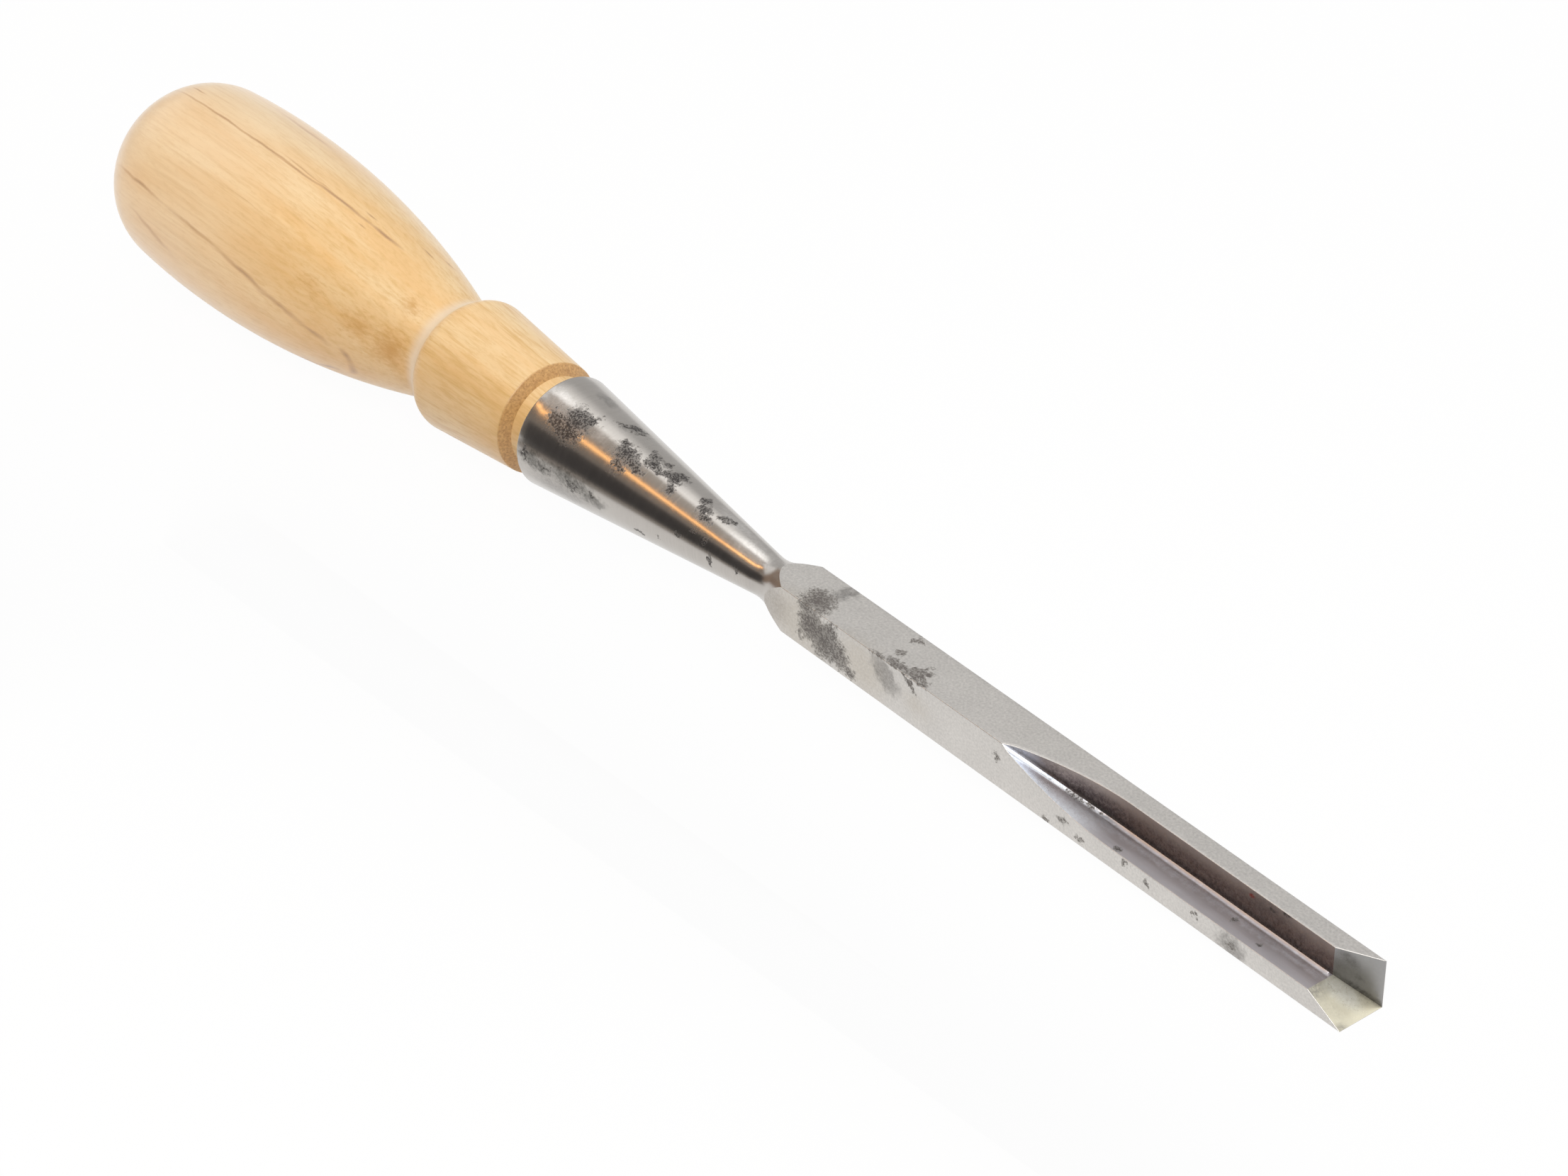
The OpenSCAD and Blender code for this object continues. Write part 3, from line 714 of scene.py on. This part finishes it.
def makeWood(look):
    material, tree = startMaterial(look["name"])
    inMm = millimetres(tree)
    place = addNode(tree, "SeparateXYZ", (inMm,)).outputs
    across = addNode(tree, "VectorMath", (inMm, look["ringFace"]), operation="DOT_PRODUCT").outputs["Value"]
    along = addNode(tree, "VectorMath", (inMm, look["ringSide"]), operation="DOT_PRODUCT").outputs["Value"]
    rings = addNode(tree, "CombineXYZ", (place["X"], across, along))
    figure = {}
    for name, (pitch, detail, roughness) in look["figure"].items():
        perPitch = tuple(1 / size for size in pitch)
        at = addNode(tree, "VectorMath", (rings, perPitch), operation="MULTIPLY")
        figure[name] = addNode(tree, "TexNoise", {"Vector": at, "Scale": 1.0, "Detail": detail,
                                                  "Roughness": roughness})
    bold = addNode(tree, "MapRange", (place["X"], *look["lineMost"]))
    layers = [(addNode(tree, "MapRange", (figure["broad"], *look["lightRange"])), "light"),
              (addNode(tree, "MapRange", (figure["lines"], *look["lineRange"], 0.0, bold)), "deep"),
              (addNode(tree, "MapRange", (figure["flecks"], *look["fleckRange"])), "deep")]
    # golden-brown mottling where the cove cuts across the grain
    turn = addNode(tree, "Math", (place["Z"], place["Y"]), operation="ARCTAN2")
    degrees = addNode(tree, "Math", (turn, 180 / math.pi), operation="MULTIPLY")
    blotched = softOvals(tree, addNode(tree, "CombineXYZ", (place["X"], degrees)), look["blotches"])
    mottled = addNode(tree, "Math", (figure["flecks"], look["mottleFlecks"], blotched),
                      operation="MULTIPLY_ADD")
    toTan = addNode(tree, "MapRange", (mottled, *look["mottleRange"]), interpolation_type="SMOOTHSTEP")
    # painted highlight: pale at the bottom of the cove, which also lifts its shade; paler toward the butt,
    # partly the wood's own tone and at the butt's end a painted milky highlight
    fromCove = addNode(tree, "Math", (place["X"], look["coveX"]), operation="SUBTRACT")
    inCove = addNode(tree, "Math", (fromCove,), operation="ABSOLUTE")
    paleAndSheen = addNode(tree, "MapRange", (inCove, *look["covePale"]), interpolation_type="SMOOTHSTEP")
    for start, end, most in look["paleTowardButt"]:
        paleTowardButt = addNode(tree, "MapRange", (place["X"], start, end, 0.0, most))
        paleAndSheen = addNode(tree, "Math", (paleAndSheen, paleTowardButt), operation="MAXIMUM")
    layers += [(toTan, "tan"), (paleAndSheen, "pale")]
    # mineral streaks: a soft brown line with a dark core that comes and goes
    scale, detail, sway = look["waver"]
    waver = addNode(tree, "TexNoise", {"Vector": inMm, "Scale": scale, "Detail": detail})
    wavered = addNode(tree, "Math", (waver, sway, across), operation="MULTIPLY_ADD")
    depth = addNode(tree, "Math", (wavered, sway / 2), operation="SUBTRACT")
    mark = softOvals(tree, addNode(tree, "CombineXYZ", (place["X"], depth)), look["streaks"])
    dashed = addNode(tree, "Math", (figure["breaks"], look["streakBreaks"], mark), operation="MULTIPLY_ADD")
    onLine = addNode(tree, "MapRange", (mark, *look["streakRim"]))
    for low, high, most, tint in look["streakLayers"]:
        share = addNode(tree, "MapRange", (dashed, low, high, 0.0, most), interpolation_type="SMOOTHSTEP")
        layers.append((addNode(tree, "Math", (share, onLine), operation="MULTIPLY"), tint))
    colour = linearFromHex(look["tone"])
    for share, tint in layers:
        colour = addNode(tree, "Mix", {"Factor": share, "A": colour, "B": linearFromHex(look[tint])},
                         data_type="RGBA").outputs["Result"]
    # end grain shows only on the cut shoulder
    rootX = shoulderX - handle["shoulderSlope"]
    ends = addNode(tree, "MapRange", (place["X"], *(shoulderX + step for step in look["rimFade"])))
    notTenon = addNode(tree, "MapRange", (place["X"], *(rootX + step for step in look["rootFade"])))
    onShoulder = addNode(tree, "Math", (ends, notTenon), operation="MULTIPLY")
    scale, detail, roughness = look["pores"]
    pores = addNode(tree, "TexNoise", {"Vector": inMm, "Scale": scale, "Detail": detail,
                                       "Roughness": roughness})
    porous = addNode(tree, "MapRange", (pores, *look["poreRange"]))
    endDark, endLight = linearFromHex(look["endDark"]), linearFromHex(look["endLight"])
    endTone = addNode(tree, "Mix", {"Factor": porous, "A": endDark, "B": endLight},
                      data_type="RGBA").outputs["Result"]
    colour = addNode(tree, "Mix", {"Factor": onShoulder, "A": colour, "B": endTone},
                     data_type="RGBA").outputs["Result"]
    rough = addNode(tree, "MapRange", (figure["flecks"], *look["rough"]))
    # handling has roughed up the coat toward the butt, so that its rim looks milky
    fuzz = addNode(tree, "MapRange", (place["X"], *look["fuzz"]))
    relief = addNode(tree, "Bump", {"Height": figure["lines"], "Strength": look["bump"],
                                    "Distance": look["lineDepth"] * mm})
    surface = addNode(tree, "BsdfPrincipled", {
        "Base Color": colour, "Roughness": rough, "Normal": relief, "IOR": look["ior"],
        "Coat Weight": look["coat"], "Coat Roughness": look["coatRough"],
        "Sheen Weight": fuzz, "Sheen Roughness": look["fuzzRough"]})
    addNode(tree, "OutputMaterial", {"Surface": surface})
    return material


bladeSteel = makeBlade({name: makeSteel(look) for name, look in steel.items()})
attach(bladeSteel, "blade")
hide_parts("blade")
print("blade:", len(bladeSteel.data.polygons), "faces")

handleWood = makeHandle(makeWood(wood))
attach(handleWood, "handle")
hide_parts("handle")
print("handle:", len(handleWood.data.polygons), "faces")


# Stage: a white floor under the tool, which rests on its cutting edge and on the belly of its grip
studio = {
    "floorSize": 6000.0, "floorTone": "#F4F3F1", "floorGlow": 0.965, "floorGap": 0.02, "worldFill": 0.68,
    # name, x of the place aimed at, azimuth, elevation, distance, width, height, colour, strength
    "lamps": (("keyLamp", 150, 118, 53, 800, 560, 520, "#FFFFFF", 3.4),
              ("topLamp", 150, -25, 59, 800, 300, 270, "#FFFFFF", 0.42),
              ("topHalo", 150, -29, 57, 820, 480, 440, "#FFFFFF", 0.3),
              ("skyLamp", 60, -95, 58, 800, 320, 270, "#E6EEFF", 0.95)),
    "cards": (("grayBackdrop", 150, -56, 32, 950, 1500, 1150, "#FFFFFF", 0.62),
              ("overheadCard", 150, 22, 60, 800, 420, 190, "#FFF0E2", 0.48),
              ("warmStrip", 150, 50, 45, 800, 460, 44, "#FFBC70", 6.0),
              ("dimCard", 150, 50, 38, 830, 640, 480, "#FFEEE0", 0.265),
              ("darkCard", 77, 90, 7.5, 52, 256, 42, "#FFF8F8", 0.065),
              ("shadeCard", 77, 90, -14, 41, 256, 8, "#FFF4EA", 0.35),
              ("gripCard", 247, 92, 13, 110, 130, 72, "#FFF4EA", 0.31),
              ("brownBackdrop", 150, 12, 8, 950, 1060, 420, "#FFDFC8", 0.36),
              ("cameraSide", 20, 125, 14, 900, 520, 330, "#FFFFFF", 0.18)),
}


def aimedPlace(x, azimuth, elevation, distance):
    a, e = math.radians(azimuth), math.radians(elevation)
    out = Vector((math.cos(e) * math.cos(a), math.cos(e) * math.sin(a), math.sin(e)))
    where = (Vector((x, axis, axis)) + out * distance) * mm
    return Matrix.Translation(where) @ out.to_track_quat("Z", "Y").to_matrix().to_4x4()


def addLamp(name, x, azimuth, elevation, distance, width, height, colour, strength):
    lamp = bpy.data.lights.new(name, "AREA")
    lamp.shape = "RECTANGLE"
    lamp.size, lamp.size_y = width * mm, height * mm
    lamp.color = linearFromHex(colour)[:3]
    lamp.energy = strength * math.pi * lamp.size * lamp.size_y      # strength 1 looks white
    obj = newObject(name, lamp)
    obj.matrix_world = aimedPlace(x, azimuth, elevation, distance)
    obj.visible_camera = False


def addCard(name, x, azimuth, elevation, distance, width, height, colour, strength):
    material, tree = startMaterial(name)
    glow = addNode(tree, "Emission", {"Color": linearFromHex(colour), "Strength": strength})
    addNode(tree, "OutputMaterial", {"Surface": glow})
    card = newSheet(name, width, height, material)
    card.matrix_world = aimedPlace(x, azimuth, elevation, distance)
    card.visible_camera = False


def seenDirectly(tree):
    # 1 for what the camera sees, also in a reflection or through glass
    path = addNode(tree, "LightPath").outputs
    mirrored = addNode(tree, "Math", (path["Is Camera Ray"], path["Is Glossy Ray"]), operation="MAXIMUM")
    return addNode(tree, "Math", (mirrored, path["Is Transmission Ray"]), operation="MAXIMUM")


def makeFloor():
    material, tree = startMaterial("white_paper")
    matt = addNode(tree, "BsdfDiffuse", {"Color": linearFromHex(studio["floorTone"])})
    white = addNode(tree, "Emission", {"Color": (1, 1, 1, 1), "Strength": 1.0})
    share = addNode(tree, "Math", (seenDirectly(tree), studio["floorGlow"]), operation="MULTIPLY")
    paper = addNode(tree, "MixShader", (share, matt, white))
    # clear from below, so that the tool's underside can be looked at
    below = addNode(tree, "NewGeometry").outputs["Backfacing"]
    clear = addNode(tree, "BsdfTransparent")
    oneSided = addNode(tree, "MixShader", (below, paper, clear))
    addNode(tree, "OutputMaterial", {"Surface": oneSided})
    floor = newSheet("floor", studio["floorSize"], studio["floorSize"], material)
    tilt = max((r - axis) / x for x, r in handleOutline())
    lowered = Matrix.Translation((0, 0, -studio["floorGap"] * mm))
    floor.matrix_world = Matrix.Rotation(math.atan(tilt), 4, "Y") @ lowered


def makeWorld():
    world = bpy.data.worlds.new("studio")
    bpy.context.scene.world = world
    world.use_nodes = True
    tree = world.node_tree
    tree.nodes.clear()
    strength = addNode(tree, "MapRange", (seenDirectly(tree), 0.0, 1.0, studio["worldFill"], 1.0))
    sky = addNode(tree, "Background", {"Color": (1, 1, 1, 1), "Strength": strength})
    addNode(tree, "OutputWorld", {"Surface": sky})


makeFloor()
makeWorld()
for lamp in studio["lamps"]:
    addLamp(*lamp)
for card in studio["cards"]:
    addCard(*card)
print("stage: floor, world,", len(studio["lamps"]), "lamps and", len(studio["cards"]), "cards")


# Camera at the photograph's angle, worked out from the square bar and the turned outline
view = {
    "place": (-328.9, 375.5, 419.2),
    "right": (-0.6353, -0.77226, 0.00383), "up": (0.45026, -0.36637, 0.81427),
    "lens": 111.46, "sensor": 36.0, "clip": (0.01, 50),
}
camera = bpy.data.cameras.new("camera")
camera.sensor_fit = "HORIZONTAL"
camera.sensor_width = view["sensor"]
camera.lens = view["lens"]
camera.clip_start, camera.clip_end = view["clip"]
cameraObject = newObject("camera", camera)
right, up = Vector(view["right"]).normalized(), Vector(view["up"])
back = right.cross(up).normalized()
up = back.cross(right)
turned = Matrix((right, up, back)).transposed().to_4x4()
cameraObject.matrix_world = Matrix.Translation(Vector(view["place"]) * mm) @ turned
bpy.context.scene.camera = cameraObject
bpy.context.scene.view_settings.view_transform = "Standard"
print("camera set")
